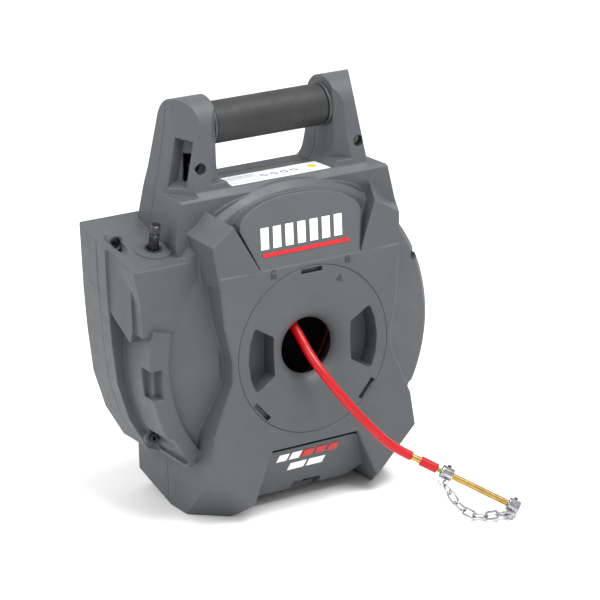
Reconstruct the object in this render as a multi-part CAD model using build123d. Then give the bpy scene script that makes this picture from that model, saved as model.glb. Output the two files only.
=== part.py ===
"""Hand-carried drain cleaning machine: static round housing, bayonet front hub, sheathed flexible cable,
hex input shaft for a cordless drill, and a chain knocker at the cable's end.

Working frame of the functions: origin at the hub centre in the hub's front plane, +X right, +Y to the rear,
+Z up, millimetres.  Every piece is moved to the row frame (floor at Z = 0) on export.
"""
from build123d import *
import os
from math import cos, pi, radians, sin, tan

# ---- driving dimensions (mm) -------------------------------------------------------------------
FLOOR_Z = -160.0          # the soles of the feet, below the hub centre
DRUM_R = 155.0            # outside radius of the round housing
DRUM_FRONT_Y = 34.0       # front edge of the round housing, behind the hub plane
SEAM_Y = 92.0             # parting plane between the front and the rear shell
SEAM_GAP = 0.6            # visible gap of the parting line
REAR_Y = 158.0            # back of the rear shell
WALL = 4.0                # shell wall
HUB_R = 82.0              # seat of the front hub
HUB_GAP = 0.6             # gap round the front hub
HUB_TURN = 53.0           # unlocking turn of the front hub, degrees
LIP_R = 74.0              # inner lip of the bayonet
LIP_Y = (5.0, 9.0)        # front and back of that lip
LUG_ANGLES = (90.0, 221.5, 318.5)
MOUTH_R = 27.5            # cable mouth in the hub
MOUTH_Y = 14.0            # depth of the funnel
GRIP_Y, GRIP_Z = 80.0, 211.0   # handle axis
GRIP_R = 20.0             # rubber grip
TUBE_R = 12.0             # metal tube inside the grip
POST_R = 28.0             # rounded top of the handle posts
POST_IN_X = 64.0          # inner faces of the posts
PLATFORM_Z = 156.0        # deck below the handle
BADGE_SLOPE = 0.43        # the badge panel leans back: y per z
BOX_SLOPE = 0.275         # the drive box's top rises to the rear: z per y
BOX_FRONT = (30.0, 97.5)  # y and z of the front edge of that top
DRIVE_TOP = (-133.5, 61.0, 106.0)   # where the drill shaft leaves the drive box
DRIVE_TILT = 15.4         # the drill shaft leans forward by this angle, degrees
HEX_AF = 9.5              # drill shaft across flats
HEX_OUT = 27.0            # drill shaft length outside the box
BUSH_R = 7.6              # black bush round the drill shaft
SHAFT_R = 6.0             # bearing journal of the drive shaft
BEARING = (6.05, 10.5, 5.0)   # bore radius, outside radius, width
SHEATH_D = 9.0            # red cable sheath
CORE_R = 2.6              # bare flexible cable
BRASS_R = 3.1             # brass sleeves on it
COIL_R = 115.5            # outside of the stored coil
COIL_TURNS = (4, 4)       # turns across and turns outward
ROW_ORIGIN = (-10.5, 80.5, FLOOR_Z)  # the row frame's origin, seen from the hub centre

# The sheath's route from the coil through the mouth to its cut end, and the cable's tip.
CORD_ROUTE = [(-60.5, 92, 43), (-45, 70, 51), (-27, 46, 45), (-11, 26, 27), (-8.5, 10, 11), (-10, -11, -3),
              (-2.5, -28, -22), (13, -42.5, -48), (34, -53, -75), (48.1, -58.6, -90.7), (62.5, -69, -100)]
TIP_END = (144.0, -128.0, -152.5)    # centre of the end collar, resting on the floor
CHAIN_ROUTE = [(84, -102, -132.5), (94, -107, -148), (106, -114.5, -155), (119.3, -125.3, -153.5)]

# Collar positions along the knocker, from the sheath's end.
STOP_SLEEVE = (9.5, 27.0)
COLLAR_A = (31.0, 43.0)
COLLAR_B = (101.0, 113.0)
EYE_OUT = 9.5                        # chain eye, from the cable's axis
EYE_SIDE = Vector(-0.69, -0.446, -0.57)   # the side of the cable that the eyes are on
LINK_WIRE = 1.1
LINKS = 7
LINK_LENGTH, LINK_WIDTH = 15.9, 9.4
FIRST_LINK = Vector(0.104, -0.685, -0.721)   # how the end links lie, seen from their eyes
LAST_LINK = Vector(-0.955, 0.253, 0.149)

# Screws that hold the shells together: x, z, seat y.
SHELL_SCREWS = [(-86, 177, 66), (86, 177, 66), (-160, 111, 90), (-137, -80, 70), (138, 59, 56),
                (3, -145, 44), (132, -74, 56)]


# ---- helpers -----------------------------------------------------------------------------------
def xz_prism(points, y0, y1):
    """Polygon drawn in X and Z, extruded along Y."""
    outline = Polyline(*[(x, y0, z) for x, z in points], close=True)
    return extrude(make_face(outline), amount=y1 - y0, dir=(0, 1, 0))


def yz_prism(points, x0, x1):
    """Polygon drawn in Y and Z, extruded along X."""
    outline = Polyline(*[(x0, y, z) for y, z in points], close=True)
    return extrude(make_face(outline), amount=x1 - x0, dir=(1, 0, 0))


def y_cylinder(radius, y0, y1, x=0.0, z=0.0):
    return Pos(x, (y0 + y1) / 2, z) * Rot(-90, 0, 0) * Cylinder(radius, y1 - y0)


def x_cylinder(radius, x0, x1, y=0.0, z=0.0):
    return Pos((x0 + x1) / 2, y, z) * Rot(0, 90, 0) * Cylinder(radius, x1 - x0)


def block(x0, x1, y0, y1, z0, z1):
    return Pos((x0 + x1) / 2, (y0 + y1) / 2, (z0 + z1) / 2) * Box(x1 - x0, y1 - y0, z1 - z0)


def turned(points):
    """Closed profile of (radius, y) turned about the hub axis."""
    return revolve(make_face(Polyline(*points, close=True)), axis=Axis.Y)


def half_space(origin, normal, size=900.0):
    """Everything on the side of the plane that the normal points to."""
    return Plane(origin=origin, z_dir=normal) * Pos(0, 0, size / 2) * Box(size, size, size)


def mirrored(shape):
    return mirror(shape, about=Plane.YZ)


def both_sides(points):
    """Closed outline from its right half, listed from bottom to top."""
    return points + [(-x, z) for x, z in reversed(points)]


def faceted(front, back):
    """Closed solid between two quadrilaterals, each side split into two triangles."""
    def face(*corners):
        return Face(Wire(Polyline(*corners, close=True).edges()))
    faces = [face(q[0], q[1], q[2]) for q in (front, back)]
    faces += [face(q[0], q[2], q[3]) for q in (front, back)]
    for i in range(4):
        j = (i + 1) % 4
        faces.append(face(front[i], front[j], back[j]))
        faces.append(face(front[i], back[j], back[i]))
    return Solid(Shell(faces))


def sector(angle0, angle1, radius, y0, y1):
    """Wedge about the hub axis, angles in degrees from +X towards +Z."""
    steps = max(2, int(abs(angle1 - angle0) / 15) + 1)
    turns = [radians(angle0 + (angle1 - angle0) * i / steps) for i in range(steps + 1)]
    rim = [(radius * cos(a), radius * sin(a)) for a in turns]
    return xz_prism([(0, 0)] + rim, y0, y1)


def polar(radius, angle):
    return radius * cos(radians(angle)), radius * sin(radians(angle))


def drive(z0, radius, length):
    """Cylinder on the drive axis, its lower end z0 above the box's top (negative is inside)."""
    return DRIVE * Pos(0, 0, z0 + length / 2) * Cylinder(radius, length)


DRIVE = Pos(*DRIVE_TOP) * Rot(DRIVE_TILT, 0, 0)


# ---- housing: outer envelope -------------------------------------------------------------------
def drum_envelope():
    face_y = DRUM_FRONT_Y - 15
    body = turned([(0, face_y), (92, face_y), (DRUM_R - 7, DRUM_FRONT_Y), (DRUM_R, DRUM_FRONT_Y + 8),
                   (DRUM_R, REAR_Y - 10), (DRUM_R - 10, REAR_Y), (0, REAR_Y)])
    return fillet(body.edges().filter_by(GeomType.CIRCLE).filter_by(lambda e: e.radius > 140), 4)


def front_plate():
    """X-shaped face: centre ring, two legs and the lower ends of the arms."""
    right = [(47, -93), (69, -143.5), (114, -100), (109, -66), (99, -42), (88.5, -18), (87.5, 2),
             (95, 38), (98, 78), (98, 86)]
    plate = xz_prism(both_sides(right), 0, 60)
    return fillet(plate.faces().sort_by(Axis.Y)[0].edges(), 2.5)


def arm(side, crest, shoulder):
    """Upper arm, from the face back to the foot of the handle post."""
    front = [(55, 0.5, 86), (77, 9, 130), (102, 6, 115), (98, 0.5, 76)]
    back = [(60, 66, 86), (crest, 66, 146), shoulder, (shoulder[0] - 8, 66, 76)]
    solid = faceted(front, back)
    return solid if side > 0 else mirrored(solid)


def arch_points(half_width, side_z, top_z, base_z, base_half):
    """Outline of an arched panel, flat at the bottom."""
    points = [(base_half, base_z), (half_width, side_z)]
    steps = 8
    for i in range(1, steps):
        t = i / steps
        points.append((half_width * cos(t * pi / 2), side_z + (top_z - side_z) * sin(t * pi / 2)))
    return both_sides(points) if base_half else points


def badge_block():
    """Arched panel above the hub, leaning back, and the shelf behind it."""
    panel = xz_prism(arch_points(66, 121, 146, 86, 54), -5, 70)
    panel -= half_space((0, 2.2, 88), (0, -1, BADGE_SLOPE))
    shelf = xz_prism(arch_points(84, 128, 151, 80, 84), 40, 80)
    return panel + shelf


def handle_frame():
    """Deck and two posts: a front outline and a side outline, cut with each other."""
    right = [(118, 84), (121, 112), (113, 150), (108, 170), (99, 216), (97, 245),
             (POST_IN_X, 245), (POST_IN_X, 178), (62.5, 168), (59.5, 161), (55, PLATFORM_Z)]
    front = xz_prism(both_sides(right), 30, 125)
    side = yz_prism([(40, 84), (41, 150), (47, PLATFORM_Z), (51, 185), (GRIP_Y - POST_R, GRIP_Z),
                     (GRIP_Y + POST_R, GRIP_Z), (111, 180), (114, PLATFORM_Z), (118, 84)], -130, 130)
    side += x_cylinder(POST_R, -130, 130, GRIP_Y, GRIP_Z)
    frame = front & side
    scoop = half_space((POST_IN_X, GRIP_Y - 20, GRIP_Z), (-0.68, -0.73, 0))
    scoop &= block(0, 130, 30, 120, PLATFORM_Z + 6, 260)
    corner = half_space((97, 75, 216), (0.857, -0.484, 0.178))
    scoop += corner & block(60, 130, 30, 120, PLATFORM_Z - 4, 260)
    frame -= scoop
    return frame - mirrored(scoop)


def drive_box():
    """Box at the upper left that carries the drill shaft, with a leaning top."""
    y0, z0 = BOX_FRONT
    y1 = 122.0
    top = [(y0, z0), (y1, z0 + BOX_SLOPE * (y1 - y0))]
    outline = [(-95, 140), (-95, 20), (-127, 34), (-164, 34), (-165, 66), (-171, 97), (-171, 140)]
    front = xz_prism(outline, y0, y1)
    side = yz_prism(top + [(y1, 70), (95, 66), (48, 26), (y0 + 14, 40), (y0 + 14, 90)], -176, -120)
    side -= half_space((-165, y0, 60), (-0.985, -0.17, 0))
    roof = half_space((0, y0, z0), (0, -BOX_SLOPE, 1))
    boss = drive(-6, 17.7, 7.5)
    return (front + side - roof) + boss


def rib():
    """Raised rim along the left edge of the housing, below the drive box."""
    rim = turned([(141, 25), (159, 25), (160, 27), (160, SEAM_Y + 2), (141, SEAM_Y + 2)])
    rim &= sector(166, 219, 220, 0, 100)
    return rim


def rear_band():
    """Proud rim round the left flank, behind the rib, narrowing towards the back."""
    edge = [(-100, 126), (-176, 126), (-175, 60), (-173, 20), (-169, -22), (-158, -60), (-140, -92),
            (-100, -110)]
    band = xz_prism(edge, 76, 124)
    wide = Polyline(*[(x, 124, z) for x, z in edge], close=True)
    slim = Polyline(*[(x * 0.9, REAR_Y - 8, z * 0.9) for x, z in edge], close=True)
    band += loft([make_face(wide), make_face(slim)], ruled=True)
    return band - half_space((0, BOX_FRONT[0], BOX_FRONT[1]), (0, -BOX_SLOPE, 1))


def foot():
    """Right foot: flat sole, a slanting toe in front and a bevel at the rear."""
    body = xz_prism([(66, -136), (69, -143.5), (76, -156), (80, FLOOR_Z), (111, FLOOR_Z), (111, -96),
                     (60, -96)], 1, 150)
    body -= half_space((114, 3, -100), (0.556, -0.599, -0.575))
    return body - half_space((111, 88, FLOOR_Z), (0.69, 0.2, -0.69))


def recess_panel():
    """Sunk name panel between the legs, leaning back towards the floor."""
    body = xz_prism([(-49, -88), (49, -88), (72, -136), (50, -147), (-50, -147), (-72, -136)], 4, 60)
    body -= half_space((0, 4, -90), (0, -1, -0.45))
    return body & y_cylinder(DRUM_R, 0, 80)


def screw_bosses():
    tubes = [y_cylinder(8, seat - 6, 120, x, z) for x, z, seat in SHELL_SCREWS[2:]]
    return tubes[0] + tubes[1:]


def housing_envelope():
    body = drum_envelope() + front_plate() + badge_block() + handle_frame() + drive_box()
    body += rib()
    body += rear_band()
    body += recess_panel()
    body += arm(1, 103, (137, 66, 108))
    body += arm(-1, 96, (114, 66, 126))
    body += foot()
    body += mirrored(foot())
    return body - deck_fall(62, PLATFORM_Z)


def deck_fall(half_width, top_z):
    """The drum's top falls away behind the deck."""
    return half_space((0, 112, top_z), (0, 0.38, 1)) & block(-half_width, half_width, 112, 170, 100, 200)


# ---- housing: hollows ----------------------------------------------------------------------------
def drum_cavity():
    r = DRUM_R - WALL
    back = REAR_Y - WALL
    return turned([(0, DRUM_FRONT_Y + 2), (r - 6, DRUM_FRONT_Y + 4), (r, DRUM_FRONT_Y + 12), (r, back - 8),
                   (r - 8, back), (0, back)])


def plate_cavity():
    """Space behind the X-shaped face, with the bayonet ring left standing."""
    right = [(52, -97), (72, -136), (108, -101), (104, -68), (94, -44), (84, -18), (83, 2), (90, 40),
             (92, 84)]
    space = xz_prism(both_sides(right), WALL, 60)
    return space - y_cylinder(HUB_R + 7, 0, 14)


def hub_seat():
    """Stepped hole of the bayonet, with three slots in its lip for the hub's lugs."""
    seat = y_cylinder(HUB_R, -5, LIP_Y[0]) + y_cylinder(LIP_R, -5, 60)
    seat += y_cylinder(HUB_R + 3, LIP_Y[1], 60)
    for angle in LUG_ANGLES:
        unlocked = angle + HUB_TURN
        slot = sector(unlocked - 10, unlocked + 10, LIP_R + 6.6, LIP_Y[0] - 1, 20)
        seat += slot
    return seat


def hollows():
    space = drum_cavity() - deck_fall(70, PLATFORM_Z - WALL) + plate_cavity() + hub_seat()
    space += xz_prism(arch_points(58, 118, 138, 92, 48), 26, 60)
    y0, z0 = BOX_FRONT
    z1 = z0 - WALL + BOX_SLOPE * (114 - y0)
    box_side = [(y0 + WALL + 1, 44), (y0 + WALL + 1, z0 - WALL), (114, z1), (114, 44)]
    space += yz_prism(box_side, -160, -119)
    for side in (1, -1):
        post = xz_prism([(side * 72, 118), (side * 72, 188), (side * 90, 188), (side * 97, 118)], 69, 108)
        corners = [(side * 78, -152), (side * 78, -112), (side * 100, -104), (side * 100, -152)]
        sole = xz_prism(corners, 62, 136)
        space += post
        space += sole
    return space


def outside_cuts():
    """Windows and recesses seen from outside."""
    window = faceted([(-112, 73.5, 156), (-101.6, 73.5, 206), (-91.2, 55.1, 203), (-101.6, 55.1, 158)],
                     [(-96, 76, 163), (-88, 76, 199), (-80, 66, 197), (-84, 66, 165)])
    cuts = window + mirrored(window)
    cuts += drive(-12, BUSH_R + 0.05, 20)
    access = block(-172, -148, 20, 34, -27, 2) + block(-172, -153.5, 30, 44, -27, 2)
    cuts += access
    pocket = faceted([(-168, 20, -58), (-139, 20, -68), (-123, 20, -95), (-150, 20, -104)],
                     [(-168, 70, -64), (-139, 70, -70), (-128, 70, -92), (-150, 70, -100)])
    cuts += pocket
    notch = xz_prism([(-14, -160), (-11, -140), (20, -140), (24, -160)], 20, 44)
    cuts += notch
    for x, z, seat in SHELL_SCREWS:
        cuts += y_cylinder(5.6, seat - 34, seat, x, z)
    return cuts


def rear_cuts():
    """Shallow rings and radial pockets in the flat back, and the sockets of the rubber pads."""
    ring = turned([(46, REAR_Y - 2.5), (118, REAR_Y - 2.5), (120, REAR_Y + 2), (44, REAR_Y + 2)])
    for i in range(8):
        x, z = polar(82, 22.5 + 45 * i)
        ring -= Pos(x, REAR_Y, z) * Rot(0, -(22.5 + 45 * i), 0) * Box(90, 12, 7)
    for x, z in pad_places():
        ring += y_cylinder(9.1, REAR_Y - 2, REAR_Y + 3, x, z)
    return ring


def pad_places():
    return [polar(131, angle) for angle in (45, 135, 225, 315)]


def shells():
    body = housing_envelope() - hollows()
    body += screw_bosses()
    body -= outside_cuts()
    body -= rear_cuts()
    for x, z, seat in SHELL_SCREWS:
        body -= y_cylinder(2.1, seat - 1, seat + 45, x, z)
    for side in (1, -1):
        x_end = side * 86
        body -= x_cylinder(TUBE_R + 0.05, min(0, x_end), max(0, x_end), GRIP_Y, GRIP_Z)
    body += block_posts(4, 24)
    body -= block_posts(1.55, 10)
    front = body - half_space((0, SEAM_Y - SEAM_GAP / 2, 0), (0, 1, 0))
    rear = body - half_space((0, SEAM_Y + SEAM_GAP / 2, 0), (0, -1, 0))
    return front, rear



# ---- front hub -----------------------------------------------------------------------------------
def hub_pocket(side):
    """Deep finger pocket of the hub, between a straight inner wall and an arc near the rim."""
    inner, outer, half = 42, 71, 33
    rim = [polar(outer, a) for a in (-27, -14, 0, 14, 27)]
    points = [(inner, -19)] + rim + [(inner, 19)]
    return fillet(xz_prism([(side * x, z) for x, z in points], -4, 30).edges().filter_by(Axis.Y), 3)


def funnel_curve(offset):
    """Section of the funnel, (radius, y) from the flat rim to the mouth, moved back by the offset."""
    rim = (66.0, offset)
    lip = (MOUTH_R + 0.25 * offset, MOUTH_Y + offset * 0.75)
    return Spline(rim, lip, tangents=[(-1, 0), (-0.35, 1)])


def front_hub():
    """Removable hub: rim, funnel, skirt with three bayonet lugs, two finger pockets with back walls."""
    r = HUB_R - HUB_GAP
    front = funnel_curve(0)
    back = funnel_curve(WALL)
    outline = [Line((r, 0), front @ 0), front, Line(front @ 1, back @ 1), back,
               Polyline(back @ 0, (LIP_R - 3.5, WALL), (LIP_R - 3.5, 18), (LIP_R - 0.6, 18),
                        (LIP_R - 0.6, LIP_Y[0] - 0.3), (r, LIP_Y[0] - 0.3), (r, 0))]
    hub = revolve(make_face(Curve() + outline), axis=Axis.Y)
    for angle in LUG_ANGLES:
        lug = sector(angle - 8, angle + 8, LIP_R + 6, LIP_Y[1] + 0.5, 14) - y_cylinder(LIP_R - 2, 0, 30)
        hub += lug
        x, z = polar(77.3, angle)
        hub -= Pos(x, 0.5, z) * Rot(0, 90 - angle, 0) * Box(23, 12, 5)
    for side in (1, -1):
        outer = xz_prism([(side * x, z) for x, z in [(38.5, -24)] + [polar(LIP_R - 2, a) for a in
                          (-31, -15, 0, 15, 31)] + [(38.5, 24)]], 3, 24)
        hub += outer
    for side in (1, -1):
        hub -= hub_pocket(side) & block(-90, 90, -5, 21.5, -60, 60)
    return hub - y_cylinder(MOUTH_R - 2, 8, 40)


# ---- handle --------------------------------------------------------------------------------------
def handle_tube():
    return x_cylinder(TUBE_R, -85, 85, GRIP_Y, GRIP_Z) - x_cylinder(TUBE_R - 2, -90, 90, GRIP_Y, GRIP_Z)


def handle_grip():
    grip = x_cylinder(GRIP_R, -60.5, 60.5, GRIP_Y, GRIP_Z)
    grip = fillet(grip.edges().filter_by(GeomType.CIRCLE), 1.5)
    return grip - x_cylinder(TUBE_R, -70, 70, GRIP_Y, GRIP_Z)


def grip_ring(side):
    x0, x1 = sorted((side * 60.8, side * 63.8))
    ring = x_cylinder(GRIP_R + 1.2, x0, x1, GRIP_Y, GRIP_Z)
    ring = fillet(ring.edges().filter_by(GeomType.CIRCLE), 0.8)
    return ring - x_cylinder(TUBE_R, x0 - 1, x1 + 1, GRIP_Y, GRIP_Z)


# ---- drive line, in the leaning box ----------------------------------------------------------------
def drive_shaft():
    """Hex end for the drill chuck, with a chamfered tip and a ring groove, and the round journal below."""
    hexagon = extrude(RegularPolygon(HEX_AF / 2, 6, major_radius=False), HEX_OUT + 9)
    tip = revolve(make_face(Polyline((0, -9), (6.2, -9), (6.2, HEX_OUT - 11.5), (4.4, HEX_OUT - 10.5),
                                     (4.4, HEX_OUT - 8.5),
                                     (6.2, HEX_OUT - 7.5), (6.2, HEX_OUT - 2), (3.9, HEX_OUT), (0, HEX_OUT), close=True)),
                  axis=Axis.Y)
    tip = Rot(90, 0, 0) * tip
    hexagon = (Pos(0, 0, -9) * hexagon) & tip
    journal = Pos(0, 0, -40.5) * Cylinder(SHAFT_R, 63)
    groove = Pos(0, 0, -56) * (Cylinder(SHAFT_R + 1, 1.2) - Cylinder(SHAFT_R - 0.6, 1.2))
    return DRIVE * (hexagon + journal - groove)


def drive_bush():
    """Black bush that lines the box's hole round the shaft."""
    body = Pos(0, 0, -1.25) * Cylinder(BUSH_R, 5.5) + Pos(0, 0, 1.9) * Cylinder(BUSH_R + 0.7, 0.8)
    return DRIVE * (body - Cylinder(6.1, 20))


BEARING_AT = (-17.0, -45.0)
BLOCK_SCREW_X = (-11.9, 11.9)


def bearing_rings(inner):
    bore, outside, width = BEARING
    middle = (bore + outside) / 2
    race = Torus(middle, 1.25)
    rings = []
    for z in BEARING_AT:
        low, high = (bore, middle - 0.7) if inner else (middle + 0.7, outside)
        ring = Cylinder(high, width) - Cylinder(low, width + 2)
        rings.append(DRIVE * Pos(0, 0, z) * (ring - race))
    return rings


def bearing_balls():
    middle = (BEARING[0] + BEARING[1]) / 2
    balls = []
    for z in BEARING_AT:
        for i in range(12):
            x, y = polar(middle, 30 * i)
            balls.append(DRIVE * Pos(x, y, z) * Sphere(1.2))
    return balls


def bearing_block():
    """Plastic block with two bearing seats, screwed to the front shell inside the drive box."""
    body = Pos(0, 0, -31.5) * Box(28, 27, 39)
    body -= Pos(0, 0, -31.5) * Cylinder(8.5, 60)
    for z in BEARING_AT:
        end = 10 if z > -30 else -10
        body -= Pos(0, 0, z + end / 2 - (2.5 if end > 0 else -2.5)) * Cylinder(BEARING[1] + 0.02, 10)
    for x in BLOCK_SCREW_X:
        body -= Pos(x, 0, -31.5) * Rot(90, 0, 0) * Cylinder(1.55, 60)
    return DRIVE * body


def block_screws():
    """Two screws through the bearing block, heads at its rear."""
    screws = []
    for x in BLOCK_SCREW_X:
        screw = Pos(0, 14.8, 0) * Rot(90, 0, 0) * (Cylinder(2.3, 2.6) - Pos(0, 0, -1) * Cylinder(1, 2))
        screw += Pos(0, -4, 0) * Rot(90, 0, 0) * Cylinder(1.5, 35.4)
        screws.append(DRIVE * Pos(x, 0, -31.5) * screw)
    return screws


def block_posts(radius, reach):
    """Posts of the front shell that the bearing block is screwed to, or their pilot holes."""
    posts = [DRIVE * Pos(x, -13.5 - reach / 2, -31.5) * Rot(90, 0, 0) * Cylinder(radius, reach)
             for x in BLOCK_SCREW_X]
    return posts


def shaft_clip():
    ring = Cylinder(8.2, 1) - Cylinder(SHAFT_R - 0.5, 3)
    return DRIVE * Pos(0, 0, -56) * (ring - Pos(0, -6, 0) * Box(5, 12, 3))


def cable_coupling():
    """Sleeve that joins the drive shaft to the flexible cable."""
    body = fillet(Cylinder(9.5, 26).edges(), 1)
    body -= Pos(0, 0, 8) * Cylinder(SHAFT_R, 20)
    body -= Pos(0, 0, -8) * Cylinder(CORE_R, 20)
    for z in (7, -7):
        body -= Pos(0, -8, z) * Rot(90, 0, 0) * Cylinder(2, 11.2)
    return DRIVE * Pos(0, 0, -72) * body


def coupling_screws():
    screws = []
    for z, reach in ((7, SHAFT_R), (-7, CORE_R)):
        length = 8.6 - reach
        screw = Cylinder(2, length) - Pos(0, 0, length / 2) * Cylinder(0.9, 3)
        screws.append(DRIVE * Pos(0, -(reach + length / 2), -72 + z) * Rot(90, 0, 0) * screw)
    return screws


def cable_start():
    """First stretch of the flexible cable, from the coupling into its sheath."""
    return drive(-88.2, CORE_R, 13.8)


def sheath_lead():
    """Sheath from its clamp, round the lower left of the housing, to the coil."""
    start = DRIVE * Pos(0, 0, -88.6)
    p0 = start.position
    down = Vector(0, sin(radians(DRIVE_TILT)), -cos(radians(DRIVE_TILT)))
    p1 = p0 + down * 22
    bend = TangentArc(p1, Vector(-53, 96, -109), tangent=down)
    path = Line(p0, p1) + bend
    tube = sweep(Plane(origin=p0, z_dir=down) * Circle(SHEATH_D / 2), path=path)
    return tube


def sheath_clamp():
    band = Cylinder(SHEATH_D / 2 + 2.2, 9) - Cylinder(SHEATH_D / 2, 12)
    ears = Pos(-9.5, 0, 0) * (Box(8, 7, 9) - Box(10, 1.6, 12))
    hole = Pos(-10.5, 0, 0) * Rot(90, 0, 0) * Cylinder(1.6, 20)
    return DRIVE * Pos(0, 0, -98) * (band + (ears - Cylinder(SHEATH_D / 2 + 1, 12)) - hole)


def clamp_screw():
    screw = Rot(90, 0, 0) * Cylinder(1.5, 12) + Pos(0, -5.1, 0) * Rot(90, 0, 0) * Cylinder(2.8, 3)
    return DRIVE * Pos(-10.5, 0, -98) * screw


# ---- cable ------------------------------------------------------------------------------------------
def cable_coil():
    """Stored cable: neat turns side by side, one closed solid."""
    across, outward = COIL_TURNS
    pitch = SHEATH_D + 0.1
    section = None
    for i in range(across):
        for j in range(outward):
            x, y = COIL_R - SHEATH_D / 2 - j * pitch, 76 + i * pitch
            turn = Pos(x, y) * Circle(SHEATH_D / 2 + 0.15)
            section = turn if section is None else section + turn
            if i and j:
                section += Pos(x + pitch / 2, y - pitch / 2) * Rectangle(4, 4)
    return revolve(section, axis=Axis.Y)


def bend_radii(route):
    """Arc radius at each corner of a route: 0.45 of the shorter run over the tangent of half the turn."""
    radii = []
    for a, b, c in zip(route, route[1:], route[2:]):
        before = Vector(*b) - Vector(*a)
        after = Vector(*c) - Vector(*b)
        turn = radians(before.get_angle(after))
        radii.append(0.45 * min(before.length, after.length) / tan(turn / 2))
    return radii


def sheath():
    """The free sheath, from the coil through the hub's mouth to its cut end."""
    radii = bend_radii(CORD_ROUTE)
    print("bend radii", [round(r) for r in radii])
    path = FilletPolyline(*CORD_ROUTE, radius=radii)
    start = Vector(*CORD_ROUTE[0])
    tube = sweep(Plane(origin=start, z_dir=path % 0) * Circle(SHEATH_D / 2), path=path)
    expected = pi * (SHEATH_D / 2) ** 2 * path.length
    print("sheath length %.1f, volume ratio %.4f" % (path.length, tube.volume / expected))
    return tube


# ---- knocker at the cable's end -----------------------------------------------------------------------
TIP_START = Vector(*CORD_ROUTE[-1])
TIP_AXIS = (Vector(*TIP_END) - TIP_START).normalized()
EYE_NORMAL = TIP_AXIS.cross(EYE_SIDE).normalized()
KNOCKER = Location(Plane(origin=TIP_START, x_dir=EYE_SIDE, z_dir=TIP_AXIS))   # local z runs along the cable


def tip_ring(outer, s0, s1, soft=0.0):
    """Sleeve on the bare cable."""
    ring = Cylinder(outer, s1 - s0)
    if soft:
        ring = fillet(ring.edges().filter_by(GeomType.CIRCLE), soft)
    return KNOCKER * Pos(0, 0, (s0 + s1) / 2) * (ring - Cylinder(CORE_R, s1 - s0 + 2))


def cable_end():
    """Bare end of the flexible cable, through both collars."""
    rod = Cylinder(CORE_R, COLLAR_B[1] - 0.8)
    return KNOCKER * Pos(0, 0, (COLLAR_B[1] + 0.2) / 2) * rod


def collar(s0, s1):
    """Steel collar with a chain eye and two threaded holes for set screws."""
    length = s1 - s0
    body = fillet(Cylinder(6.6, length).edges(), 1.2)
    eye = Pos(EYE_OUT, 0, 0) * Rot(90, 0, 0) * (Cylinder(4.9, 2) - Cylinder(3.1, 6))
    body += eye - Cylinder(4, length)
    body -= Cylinder(CORE_R, length + 2)
    for angle in SET_SCREW_ANGLES:
        body -= Rot(0, 0, angle) * Pos(5, 0, 0) * Rot(0, 90, 0) * Cylinder(1.9, 8)
    return KNOCKER * Pos(0, 0, (s0 + s1) / 2) * body


SET_SCREW_ANGLES = (110, 200)


def set_screws():
    screws = []
    for s0, s1 in (COLLAR_A, COLLAR_B):
        for angle in SET_SCREW_ANGLES:
            screw = Cylinder(1.9, 5.6) - Pos(0, 0, 2.8) * Cylinder(0.95, 3.4)
            place = Rot(0, 0, angle) * Pos(CORE_R + 2.8, 0, 0) * Rot(0, 90, 0)
            screws.append(KNOCKER * Pos(0, 0, (s0 + s1) / 2) * place * screw)
    return screws


def eye_place(s):
    """Centre of a collar's chain eye."""
    return (KNOCKER * Pos(EYE_OUT, 0, s)).position


def chain_link(centre, direction, side):
    """Oval link lying along a direction, as wide as it is towards side."""
    straight = LINK_LENGTH - LINK_WIDTH
    bend = (LINK_WIDTH - 2 * LINK_WIRE) / 2
    path = Line((bend, -straight / 2), (bend, straight / 2))
    path += ThreePointArc((bend, straight / 2), (0, straight / 2 + bend), (-bend, straight / 2))
    path += Line((-bend, straight / 2), (-bend, -straight / 2))
    path += ThreePointArc((-bend, -straight / 2), (0, -straight / 2 - bend), (bend, -straight / 2))
    wire = Wire(path.edges())
    link = sweep(Plane(origin=(bend, 0, 0), z_dir=(0, 1, 0)) * Circle(LINK_WIRE), path=wire)
    side = (side - direction * side.dot(direction)).normalized()
    return Location(Plane(origin=centre, x_dir=side, z_dir=side.cross(direction))) * link


def chain_links():
    """Seven links along the chain's sag, each turned against the one before it."""
    ends = [eye_place(sum(stop) / 2) for stop in (COLLAR_A, COLLAR_B)]
    sag = Spline(ends[0], *CHAIN_ROUTE, ends[1], tangents=(FIRST_LINK, -LAST_LINK))
    first = LINK_LENGTH / 2 - LINK_WIRE
    pitch = (sag.length - 2 * first) / (LINKS - 1)
    print("chain pitch %.2f of at most %.2f" % (pitch, LINK_LENGTH - 4 * LINK_WIRE))
    links = []
    for i in range(LINKS):
        spot = first + i * pitch
        centre = sag.position_at(spot, position_mode=PositionMode.LENGTH)
        direction = sag.tangent_at(spot, position_mode=PositionMode.LENGTH)
        side = direction.cross(EYE_NORMAL) if i % 2 else EYE_NORMAL
        links.append(chain_link(centre, direction, side))
    return links


# ---- fasteners, pads and labels ------------------------------------------------------------------------
def shell_screws():
    screws = []
    for x, z, seat in SHELL_SCREWS:
        screw = y_cylinder(4.6, seat - 3, seat, x, z) + y_cylinder(2, seat - 0.5, seat + 44, x, z)
        recess = Pos(x, seat - 2.5, z) * Rot(90, 0, 0) * extrude(RegularPolygon(2.2, 6), 3, both=True)
        screws.append(screw - recess)
    return screws


def rear_pads():
    return [y_cylinder(9, REAR_Y - 2, REAR_Y + 3, x, z) for x, z in pad_places()]


def badge_face():
    """Plane of the leaning badge panel."""
    return Plane(origin=(0, 2.2, 88), x_dir=(1, 0, 0), z_dir=(0, -1, BADGE_SLOPE))


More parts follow.
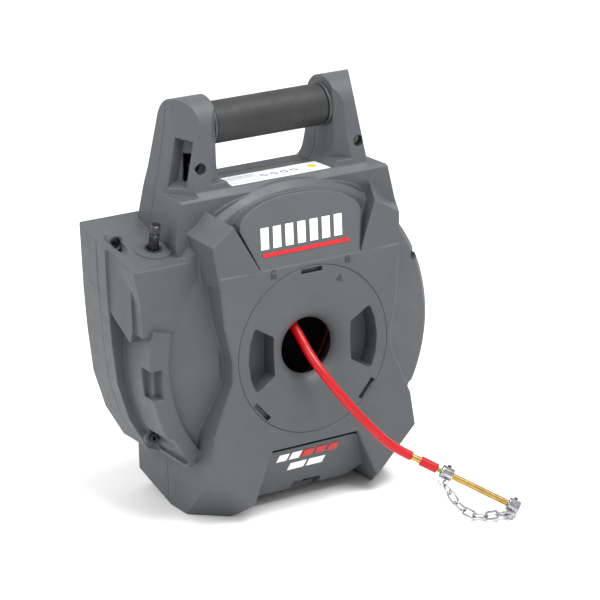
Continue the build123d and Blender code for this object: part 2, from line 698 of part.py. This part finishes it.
def badge_bars():
    """Plain raised bars on the badge panel."""
    bars = []
    for i in range(7):
        x = -49 + 13.3 * i
        slanted = Polyline((x, 16), (x + 8.5, 16), (x + 13, 36), (x + 4.5, 36), close=True)
        bars.append(badge_face().location * extrude(make_face(slanted), 0.5))
    return bars


def badge_stripe():
    return badge_face().location * Pos(-1, 10.6, 0.25) * Box(94, 3.8, 0.5)


def name_bars(lean):
    """Small plain bars on the sunk panel between the legs."""
    panel = Plane(origin=(0, 4, -90), x_dir=(1, 0, 0), z_dir=(0, -1, -0.45)).location
    bars = []
    for x0, x1, z0, z1 in lean:
        slanted = Polyline((x0, z0), (x1, z0), (x1 + 2.2, z1), (x0 + 2.2, z1), close=True)
        bars.append(panel * extrude(make_face(slanted), 0.5))
    return bars


def name_bars_white():
    return name_bars([(-37, -26, -22, -13.5), (-23, -12, -22, -13.5), (-22, -4, -36, -27.5), (-1, 17, -36, -27.5)])


def name_bars_red():
    return name_bars([(-9, 2, -22, -13.5), (5, 16, -22, -13.5), (19, 30, -22, -13.5)])


def deck_label():
    return Pos(0, 64, PLATFORM_Z + 0.2) * Box(108, 29, 0.4)


# ---- export ----------------------------------------------------------------------------------------------
def nodes():
    front_shell, rear_shell = shells()
    return {
        "front_shell": front_shell,
        "rear_shell": rear_shell,
        "front_hub": front_hub(),
        "handle_tube": handle_tube(),
        "handle_grip": handle_grip(),
        "grip_ring_left": grip_ring(-1),
        "grip_ring_right": grip_ring(1),
        "drive_shaft": drive_shaft(),
        "drive_bush": drive_bush(),
        "bearing_block": bearing_block(),
        "block_screws": block_screws(),
        "bearing_inner_rings": bearing_rings(True),
        "bearing_outer_rings": bearing_rings(False),
        "bearing_balls": bearing_balls(),
        "shaft_clip": shaft_clip(),
        "cable_coupling": cable_coupling(),
        "coupling_screws": coupling_screws(),
        "cable_start": cable_start(),
        "sheath_lead": sheath_lead(),
        "sheath_clamp": sheath_clamp(),
        "clamp_screw": clamp_screw(),
        "cable_coil": cable_coil(),
        "sheath": sheath(),
        "cable_end": cable_end(),
        "cable_ferrule": tip_ring(BRASS_R, 0.6, STOP_SLEEVE[0]),
        "stop_sleeve": tip_ring(4.7, *STOP_SLEEVE, 0.8),
        "collar_inner": collar(*COLLAR_A),
        "collar_outer": collar(*COLLAR_B),
        "spacer_tube": tip_ring(BRASS_R, COLLAR_A[1], COLLAR_B[0]),
        "set_screws": set_screws(),
        "chain_links": chain_links(),
        "shell_screws": shell_screws(),
        "rear_pads": rear_pads(),
        "badge_bars": badge_bars(),
        "badge_stripe": badge_stripe(),
        "name_bars_white": name_bars_white(),
        "name_bars_red": name_bars_red(),
        "deck_label": deck_label(),
    }


def main():
    os.makedirs("parts", exist_ok=True)
    move = Pos(*[-v for v in ROW_ORIGIN])
    for name, shape in nodes().items():
        pieces = shape if isinstance(shape, list) else [shape]
        solids = [move * solid for piece in pieces for solid in piece.solids()]
        export_step(solids[0] if len(solids) == 1 else Compound(children=solids), "parts/%s.step" % name)


main()
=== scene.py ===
import bpy
import bmesh
from math import cos, radians, sin
from mathutils import Matrix, Vector


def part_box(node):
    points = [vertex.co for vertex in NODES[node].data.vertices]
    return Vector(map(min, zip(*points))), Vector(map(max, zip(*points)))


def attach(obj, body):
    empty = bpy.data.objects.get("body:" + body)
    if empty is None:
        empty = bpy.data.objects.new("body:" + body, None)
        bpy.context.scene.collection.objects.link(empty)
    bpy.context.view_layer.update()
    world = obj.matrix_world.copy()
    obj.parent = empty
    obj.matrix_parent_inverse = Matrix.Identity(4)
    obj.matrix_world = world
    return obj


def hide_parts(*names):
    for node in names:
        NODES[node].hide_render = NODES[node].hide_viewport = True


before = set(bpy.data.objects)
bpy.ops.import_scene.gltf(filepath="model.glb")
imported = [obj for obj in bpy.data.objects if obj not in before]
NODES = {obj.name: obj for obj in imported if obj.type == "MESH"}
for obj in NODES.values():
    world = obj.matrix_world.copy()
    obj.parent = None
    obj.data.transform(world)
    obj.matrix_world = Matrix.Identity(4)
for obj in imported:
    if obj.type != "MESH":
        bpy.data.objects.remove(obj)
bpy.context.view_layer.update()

MM = 0.001
HUB = Vector((0.0105, -0.0805, 0.160))      # centre of the hub's front face, row frame


def hub_point(x, y, z):
    """Millimetres from the hub's centre, as a point of the row frame."""
    return HUB + Vector((x, y, z)) * MM


def show(obj):
    bpy.context.scene.collection.objects.link(obj)


# ---- camera ----------------------------------------------------------------------------------------
AZIMUTH, ELEVATION, ROLL = radians(-31.235), radians(17.838), radians(-1.5)
DISTANCE = 2.62437                          # from the hub, along the view
BESIDE, ABOVE = -0.012916, 0.04572          # the camera's axis from the hub, along its own right and up
LENS, SENSOR = 168.0, 36.0
NEAR, FAR = 0.1, 50


def camera():
    back = Vector((sin(AZIMUTH) * cos(ELEVATION), -cos(AZIMUTH) * cos(ELEVATION), sin(ELEVATION)))
    level = Vector((cos(AZIMUTH), sin(AZIMUTH), 0))
    upright = back.cross(level)
    right = level * cos(ROLL) + upright * sin(ROLL)
    up = upright * cos(ROLL) - level * sin(ROLL)
    place = HUB + right * BESIDE + up * ABOVE + back * DISTANCE
    data = bpy.data.cameras.new("camera")
    data.lens = LENS
    data.sensor_width = SENSOR
    data.clip_start, data.clip_end = NEAR, FAR
    cam = bpy.data.objects.new("camera", data)
    axes = Matrix((right, up, back)).transposed().to_4x4()
    cam.matrix_world = Matrix.Translation(place) @ axes
    show(cam)
    bpy.context.scene.camera = cam


camera()


# ---- materials -------------------------------------------------------------------------------------
class Nodes:
    """A material's node tree, with short ways to add to it."""

    def __init__(self, name):
        self.mat = bpy.data.materials.new(name)
        self.mat.use_nodes = True
        self.tree = self.mat.node_tree
        self.shader = self.tree.nodes["Principled BSDF"]
        self.where = self.tree.nodes.new("ShaderNodeTexCoord").outputs["Object"]

    def add(self, kind, inputs=(), **settings):
        """A new node with its own settings, and values for some of its inputs by their names."""
        node = self.tree.nodes.new(kind)
        for key, value in settings.items():
            setattr(node, key, value)
        for key, value in dict(inputs).items():
            node.inputs[key].default_value = value
        return node

    def link(self, a, b):
        self.tree.links.new(a, b)

    def noise(self, scale, detail=3.0, stretch=None):
        place = self.where
        if stretch:
            mapping = self.add("ShaderNodeMapping", {"Scale": stretch})
            self.link(self.where, mapping.inputs["Vector"])
            place = mapping.outputs["Vector"]
        node = self.add("ShaderNodeTexNoise", {"Scale": scale, "Detail": detail})
        self.link(place, node.inputs["Vector"])
        return node.outputs["Fac"]

    def ramp(self, source, low, high, start=0.3, end=0.7):
        """Colours from low to high, as the source goes from start to end."""
        node = self.add("ShaderNodeValToRGB")
        first, last = node.color_ramp.elements[0], node.color_ramp.elements[1]
        first.position, last.position = start, end
        first.color, last.color = (*low, 1), (*high, 1)
        self.link(source, node.inputs["Fac"])
        return node.outputs["Color"]

    def span(self, source, low, high, start=0.3, end=0.7):
        """Values from low to high, as the source goes from start to end."""
        ends = {"From Min": start, "From Max": end, "To Min": low, "To Max": high}
        node = self.add("ShaderNodeMapRange", ends)
        self.link(source, node.inputs["Value"])
        return node.outputs["Result"]

    def mix(self, amount, under, over):
        """One colour laid over varying ones, by an amount from 0 to 1."""
        node = self.add("ShaderNodeMix", data_type="RGBA")
        self.link(amount, node.inputs["Factor"])
        first, second = [s for s in node.inputs if s.type == "RGBA"]
        self.link(under, first)
        second.default_value = (*over, 1)
        return [s for s in node.outputs if s.type == "RGBA"][0]

    def bump(self, height, strength, distance, under=None):
        node = self.add("ShaderNodeBump", {"Strength": strength, "Distance": distance})
        self.link(height, node.inputs["Height"])
        if under is not None:
            self.link(under, node.inputs["Normal"])
        return node.outputs["Normal"]

    def soft_edge(self, radius):
        return self.add("ShaderNodeBevel", {"Radius": radius}, samples=4).outputs["Normal"]

    def edge_mask(self, radius, start, end):
        """1 near edges, 0 on flats: how far the rounded normal leans from the true one."""
        dot = self.add("ShaderNodeVectorMath", operation="DOT_PRODUCT")
        flat = self.add("ShaderNodeNewGeometry")
        self.link(self.soft_edge(radius), dot.inputs[0])
        self.link(flat.outputs["Normal"], dot.inputs[1])
        return self.span(dot.outputs["Value"], 1.0, 0.0, start, end)

    def surface(self, colour, rough, normal=None, constants=()):
        """The finished material: what varies is linked, and the shader's constants are set on it."""
        self.link(colour, self.shader.inputs["Base Color"])
        self.link(rough, self.shader.inputs["Roughness"])
        if normal is not None:
            self.link(normal, self.shader.inputs["Normal"])
        for key, value in dict(constants).items():
            self.shader.inputs[key].default_value = value
        return self.mat


def shell_plastic():
    """Grey moulding with a fine spark texture, and a painted highlight that makes its edges slightly paler.
    """
    n = Nodes("shell_plastic")
    cloud = n.ramp(n.noise(9, 4), (0.055, 0.060, 0.064), (0.064, 0.069, 0.074))
    # painted highlight: the moulding's colour is made paler along its edges
    painted_edge_highlight = n.edge_mask(radius=0.0012, start=0.80, end=0.985)
    colour = n.mix(painted_edge_highlight, cloud, (0.115, 0.122, 0.128))
    rough = n.span(n.noise(60), 0.46, 0.60)
    grain = n.bump(n.noise(2600, 2), strength=0.16, distance=0.0002, under=n.soft_edge(0.0022))
    return n.surface(colour, rough, grain, {"Specular IOR Level": 0.45})


def grip_rubber():
    """Soft black rubber, stippled."""
    n = Nodes("grip_rubber")
    colour = n.ramp(n.noise(35, 4), (0.014, 0.0145, 0.015), (0.022, 0.0225, 0.023))
    rough = n.span(n.noise(120), 0.50, 0.66)
    stipple = n.bump(n.noise(1700, 2), strength=0.25, distance=0.0003, under=n.soft_edge(0.001))
    return n.surface(colour, rough, stipple, {"Specular IOR Level": 0.4})


def dark_plastic(name="dark_plastic", low=(0.030, 0.031, 0.033), high=(0.042, 0.043, 0.045)):
    """Finer, glossier moulding than the shells."""
    n = Nodes(name)
    rough = n.span(n.noise(150), 0.34, 0.46)
    grain = n.bump(n.noise(1500, 2), strength=0.08, distance=0.0001, under=n.soft_edge(0.0006))
    return n.surface(n.ramp(n.noise(40), low, high), rough, grain)


def metal(name, low, high, rough, stretch=(1, 1, 1), scale=220):
    """Metal with fine tool marks and small changes of shine; rough is the least and the most roughness."""
    n = Nodes(name)
    marks = n.noise(scale, stretch=stretch)
    shine = n.span(n.noise(300, 2), *rough)
    grain = n.bump(marks, strength=0.12, distance=0.0001, under=n.soft_edge(0.0004))
    return n.surface(n.ramp(marks, low, high), shine, grain, {"Metallic": 1.0})


def red_sheath(name="red_sheath", low=(0.36, 0.003, 0.006), high=(0.42, 0.004, 0.008)):
    """Smooth red sheath with slight, irregular waves."""
    n = Nodes(name)
    rough = n.span(n.noise(160), 0.24, 0.36)
    waves = n.bump(n.noise(420, 2), strength=0.10, distance=0.0002)
    return n.surface(n.ramp(n.noise(45), low, high), rough, waves, {"Specular IOR Level": 0.35})


def print_ink(name, low, high):
    """Ink that lies on the moulding's grain."""
    n = Nodes(name)
    rough = n.span(n.noise(220), 0.30, 0.42)
    grain = n.bump(n.noise(1800, 2), strength=0.10, distance=0.0001)
    return n.surface(n.ramp(n.noise(70), low, high), rough, grain)


def twisted_cable():
    """Steel strands wound round the flexible cable, with a brassy tint."""
    n = Nodes("twisted_cable")
    wave = n.add("ShaderNodeTexWave", {"Scale": 420.0, "Distortion": 0.4, "Detail": 1.0}, bands_direction="X")
    n.link(n.where, wave.inputs["Vector"])
    strands = wave.outputs["Fac"]
    colour = n.ramp(strands, (0.26, 0.18, 0.07), (0.48, 0.36, 0.16), start=0.1, end=0.9)
    rough = n.span(n.noise(300, 2), 0.28, 0.40)
    return n.surface(colour, rough, n.bump(strands, strength=0.5, distance=0.0003), {"Metallic": 1.0})


SHELL = shell_plastic()
RUBBER = grip_rubber()
DARK = dark_plastic()
BLACK = dark_plastic("black_plastic", (0.012, 0.012, 0.013), (0.020, 0.020, 0.021))
# the engraved signs: near-black plates whose colour is painted shade of the engraved grooves
ENGRAVING_SHADE = dark_plastic("engraving_painted_shade", (0.012, 0.013, 0.014), (0.020, 0.022, 0.023))
BLACK_STEEL = metal("black_steel", (0.045, 0.045, 0.047), (0.10, 0.10, 0.104), (0.26, 0.40),
                    stretch=(1, 1, 0.15))
STEEL = metal("plain_steel", (0.46, 0.46, 0.47), (0.60, 0.60, 0.61), (0.24, 0.38), stretch=(1, 1, 0.2))
CHROME = metal("bright_steel", (0.22, 0.225, 0.235), (0.50, 0.51, 0.53), (0.10, 0.20), scale=160)
BRASS = metal("bush_brass", (0.39, 0.24, 0.07), (0.51, 0.34, 0.12), (0.20, 0.32),
              stretch=(1, 0.12, 0.12))
CABLE = twisted_cable()
RED = red_sheath()
# the coil inside the drum: a copy of the sheath's red, darkened as painted shade of the drum's inside
SHADED_RED = red_sheath("painted_shade_red", (0.10, 0.002, 0.003), (0.14, 0.003, 0.004))
WHITE_INK = print_ink("print_white", (0.76, 0.77, 0.78), (0.86, 0.87, 0.88))
RED_INK = print_ink("print_red", (0.42, 0.004, 0.010), (0.49, 0.008, 0.014))
LABEL = print_ink("label_white", (0.72, 0.73, 0.74), (0.82, 0.83, 0.84))
LABEL_GREY = print_ink("label_grey", (0.14, 0.16, 0.18), (0.20, 0.22, 0.24))
LABEL_BLUE = print_ink("label_blue", (0.07, 0.15, 0.36), (0.10, 0.19, 0.42))
LABEL_YELLOW = print_ink("label_yellow", (0.62, 0.44, 0.02), (0.70, 0.52, 0.04))

LOOKS = [
    (SHELL, ["front_shell", "rear_shell", "front_hub", "bearing_block"]),
    (RUBBER, ["handle_grip", "rear_pads"]),
    (DARK, ["grip_ring_left", "grip_ring_right"]),
    (STEEL, ["handle_tube", "bearing_inner_rings", "bearing_outer_rings", "bearing_balls", "shaft_clip",
             "cable_coupling", "sheath_clamp"]),
    (BLACK_STEEL, ["drive_shaft", "block_screws", "coupling_screws", "clamp_screw", "set_screws",
                   "shell_screws"]),
    (BLACK, ["drive_bush"]),
    (CABLE, ["cable_start", "cable_end"]),
    (CHROME, ["collar_inner", "collar_outer", "chain_links"]),
    (BRASS, ["cable_ferrule", "spacer_tube"]),
    (RED, ["sheath", "sheath_lead", "stop_sleeve"]),
    (SHADED_RED, ["cable_coil"]),
    (WHITE_INK, ["badge_bars", "name_bars_white"]),
    (RED_INK, ["badge_stripe", "name_bars_red"]),
    (LABEL, ["deck_label"]),
]
for material, names in LOOKS:
    for name in names:
        slots = NODES[name].data.materials
        slots.clear()
        slots.append(material)


# ---- the free sheath -------------------------------------------------------------------------------
ROUTE = [(-60.5, 92, 43), (-45, 70, 51), (-27, 46, 45), (-11, 26, 27), (-8.5, 10, 11), (-10, -11, -3),
         (-2.5, -28, -22), (13, -42.5, -48), (34, -53, -75), (48.1, -58.6, -90.7), (62.5, -69, -100)]
SHEATH_RADIUS = 0.0045


def free_sheath():
    """The sheath from the drum, through the hub's mouth, to its cut end; ROUTE is in mm from the hub."""
    data = bpy.data.curves.new("free_sheath", "CURVE")
    data.dimensions = "3D"
    line = data.splines.new("NURBS")
    line.points.add(len(ROUTE) - 1)
    for point, knot in zip(line.points, ROUTE):
        point.co = (*hub_point(*knot), 1)
    line.order_u = 3
    line.use_endpoint_u = True
    line.resolution_u = 16
    data.bevel_depth = SHEATH_RADIUS
    data.bevel_resolution = 6
    data.use_fill_caps = True
    data.materials.append(RED)
    obj = bpy.data.objects.new("free_sheath", data)
    show(obj)
    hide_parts("sheath")
    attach(obj, "housing")


free_sheath()


# ---- small prints and engravings, in mm ------------------------------------------------------------
SIGN_THICK = 0.25
PRINT_THICK, OVERPRINT_THICK = 0.05, 0.04
OVERPRINT_LIFT = 0.06


def plate(name, outlines, place, thick, material, body):
    """Thin raised shapes: flat outlines in the xy plane of a placing matrix, extruded along its z."""
    mesh = bpy.data.meshes.new(name)
    bm = bmesh.new()
    for outline in outlines:
        face = bm.faces.new([bm.verts.new((x * MM, y * MM, 0)) for x, y in outline])
        grown = bmesh.ops.extrude_face_region(bm, geom=[face])
        lifted = [v for v in grown["geom"] if isinstance(v, bmesh.types.BMVert)]
        bmesh.ops.translate(bm, verts=lifted, vec=(0, 0, thick * MM))
    bmesh.ops.recalc_face_normals(bm, faces=bm.faces)
    bm.to_mesh(mesh)
    bm.free()
    mesh.materials.append(material)
    obj = bpy.data.objects.new(name, mesh)
    obj.matrix_world = place
    show(obj)
    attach(obj, body)


def box_outline(x0, y0, x1, y1):
    return [(x0, y0), (x1, y0), (x1, y1), (x0, y1)]


def arc(cx, cy, r, start, end, steps=14):
    return [(cx + r * cos(radians(start + (end - start) * i / steps)),
             cy + r * sin(radians(start + (end - start) * i / steps))) for i in range(steps + 1)]


def spot(cx, cy, r):
    """A round outline, closed by a last short chord."""
    return arc(cx, cy, r, 0, 340, steps=22)


def face_place(x, z, tilt=0.0):
    """On the front face, x to the right and y up, z out of the face."""
    out = Matrix.Rotation(radians(90), 4, "X")
    return Matrix.Translation(hub_point(x, -0.02, z)) @ out @ Matrix.Rotation(radians(tilt), 4, "Z")


LOCK_SIDE, LOCK_FOOT, LOCK_TOP = 3, -3.6, 0.8           # a padlock's body, from its middle
HOOP_OUT, HOOP_IN = 2.2, 1.4                            # its hoop's radii
LEG_FOOT, SPRING = 0.6, 1.4                             # where a leg starts, and where the hoop's arc does


def padlock(name, x, z, lift):
    """Generic padlock sign: a body and a hoop, open when the hoop is lifted out on one side."""
    spring = SPRING + lift
    body = box_outline(-LOCK_SIDE, LOCK_FOOT, LOCK_SIDE, LOCK_TOP)
    hoop = arc(0, spring, HOOP_OUT, 0, 180) + arc(0, spring, HOOP_IN, 180, 0)
    long_leg = box_outline(-HOOP_OUT, LEG_FOOT, -HOOP_IN, spring)
    free_foot = HOOP_OUT + lift / 2 if lift else LEG_FOOT
    free_leg = box_outline(HOOP_IN, free_foot, HOOP_OUT, spring)
    plate(name, [body, hoop, long_leg, free_leg], face_place(x, z), SIGN_THICK, ENGRAVING_SHADE, "housing")


# the signs are drawn as raised near-black plates: painted shade standing in for their engraved grooves
padlock("closed_sign", 39.4, 81.1, lift=0)
padlock("open_sign", -41.4, 79.7, lift=1.8)
TRIANGLE = [(0, 3.0), (3.9, -3.4), (-3.9, -3.4)]
plate("hub_mark", [TRIANGLE], face_place(30.7, 64.8, tilt=-20), SIGN_THICK, ENGRAVING_SHADE, "hub")

MARGIN = 4                                              # of the deck's label
ROWS, ROW_STEP, ROW_HIGH, ROW_DROP = 4, 3, 1.2, 6       # its far lines, ROW_DROP in from the far edge
ROW_SHARE = 0.34                                        # their length, as a share of the width
FEW_ROWS = [(3, 1.4, 0.30), (6, 1.2, 0.22)]             # its near lines: foot, height, share of the width
DOTS, DOT_STEP, DOT_RADIUS = 4, 11, 4.2
DOTS_FROM, DOTS_AT, SPOT_AT = 0.40, 0.5, 0.55           # shares of the width, the depth and the depth
DASH_HALF_LONG, DASH_HALF_HIGH = 2.2, 0.9
SPOT_RADIUS, SPOT_INSET = 5.0, 11


def label_signs():
    """Generic marks on the deck's label: grey lines, blue dots with a pale dash each, and a yellow spot."""
    low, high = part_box("deck_label")
    place = Matrix.Translation((low[0], low[1], high[2]))
    above = Matrix.Translation((0, 0, OVERPRINT_LIFT * MM)) @ place
    width = (high[0] - low[0]) / MM
    depth = (high[1] - low[1]) / MM
    rows = [(depth - ROW_DROP - ROW_STEP * i, ROW_HIGH, ROW_SHARE) for i in range(ROWS)] + FEW_ROWS
    lines = [box_outline(MARGIN, foot, width * share, foot + tall) for foot, tall, share in rows]
    centres = [(width * DOTS_FROM + DOT_STEP * i, depth * DOTS_AT) for i in range(DOTS)]
    dots = [spot(x, y, DOT_RADIUS) for x, y in centres]
    dashes = [box_outline(x - DASH_HALF_LONG, y - DASH_HALF_HIGH, x + DASH_HALF_LONG, y + DASH_HALF_HIGH)
              for x, y in centres]
    yellow = spot(width - SPOT_INSET, depth * SPOT_AT, SPOT_RADIUS)
    plate("label_lines", lines, place, PRINT_THICK, LABEL_GREY, "housing")
    plate("label_dots", dots, place, PRINT_THICK, LABEL_BLUE, "housing")
    plate("label_dashes", dashes, above, OVERPRINT_THICK, LABEL, "housing")
    plate("label_spot", [yellow], place, PRINT_THICK, LABEL_YELLOW, "housing")


label_signs()


# ---- light and floor -------------------------------------------------------------------------------
FLOOR_CORNERS = [(-12, -6, 0), (12, -6, 0), (12, 18, 0), (-12, 18, 0)]
FLOOR_DROP = 0.0004                         # keeps the floor's plane clear of the feet's
LIT_POINT = Vector((0, 0, 0.18))
SKY_STRENGTH = 0.95


def floor():
    n = Nodes("floor")
    colour = n.ramp(n.noise(3, 2), (0.90, 0.90, 0.90), (0.92, 0.92, 0.92))
    rough = n.span(n.noise(40, 2), 0.55, 0.65)
    mesh = bpy.data.meshes.new("floor")
    mesh.from_pydata(FLOOR_CORNERS, [], [(0, 1, 2, 3)])
    mesh.materials.append(n.surface(colour, rough, constants={"Specular IOR Level": 0.2}))
    obj = bpy.data.objects.new("floor", mesh)
    show(obj)
    obj.location.z = -FLOOR_DROP


def area_light(name, place, size, power):
    data = bpy.data.lights.new(name, "AREA")
    data.shape = "SQUARE"
    data.size = size
    data.energy = power
    obj = bpy.data.objects.new(name, data)
    obj.location = place
    obj.rotation_euler = (LIT_POINT - Vector(place)).to_track_quat("-Z", "Y").to_euler()
    show(obj)


def sky():
    world = bpy.data.worlds.new("studio")
    world.use_nodes = True
    back = world.node_tree.nodes["Background"]
    back.inputs["Color"].default_value = (1, 1, 1, 1)
    back.inputs["Strength"].default_value = SKY_STRENGTH
    bpy.context.scene.world = world


floor()
sky()
area_light("key", (-1.9, 0.3, 1.6), size=1.4, power=26)
area_light("top", (0.3, -0.9, 2.4), size=1.4, power=78)
bpy.context.scene.view_settings.view_transform = "Standard"
